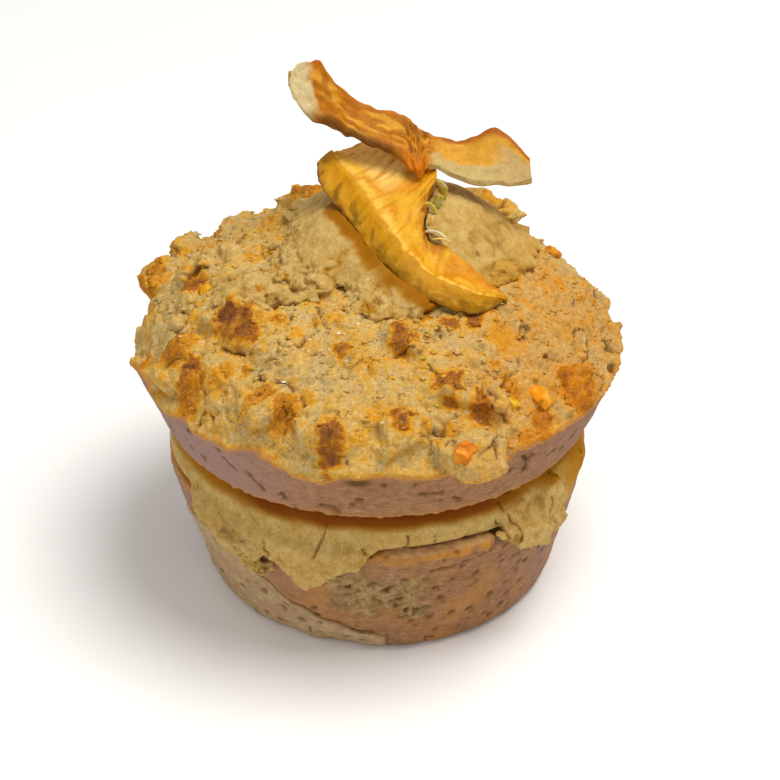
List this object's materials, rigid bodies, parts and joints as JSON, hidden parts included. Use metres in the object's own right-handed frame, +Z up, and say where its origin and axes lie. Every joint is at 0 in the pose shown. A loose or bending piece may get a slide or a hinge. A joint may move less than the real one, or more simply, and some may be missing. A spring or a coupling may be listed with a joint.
{
  "type": "filled layered fruit cake",
  "caption": "Small tin-baked fruit cake in two halves with nut cream between them, a craggy browned top, a mound of the same cream and two dried fruit slices on it.",
  "frame": {"origin": "middle of the flat base, on the surface that the cake stands on", "axes": "+Z up through the layers; -Y is the front, seen in the picture; +X is to the right seen from the front"},
  "size_m": [0.0896, 0.0896, 0.0938],
  "materials": {
    "tin_baked_cake": "matt baked crumb, tan to mauve-brown, pitted, browner at the cut edge",
    "nut_cream": "matt to satin tan nut cream, smooth with cracks and crumbly edges",
    "browned_crust": "matt craggy crust, pale batter with orange and dark brown patches",
    "dried_fruit_thick": "leathery dried fruit, yellow rind and orange-yellow flesh, satin",
    "dried_fruit_thin": "leathery dried fruit, ivory flesh with orange-brown edges, satin"
  },
  "bodies": {
    "root": {"lower_cake": "tin_baked_cake", "filling": "nut_cream", "upper_cake": "browned_crust", "top_cream": "nut_cream", "cream_dab": "nut_cream", "slice_lower": "dried_fruit_thick", "slice_upper": "dried_fruit_thin"}
  },
  "joints": []
}
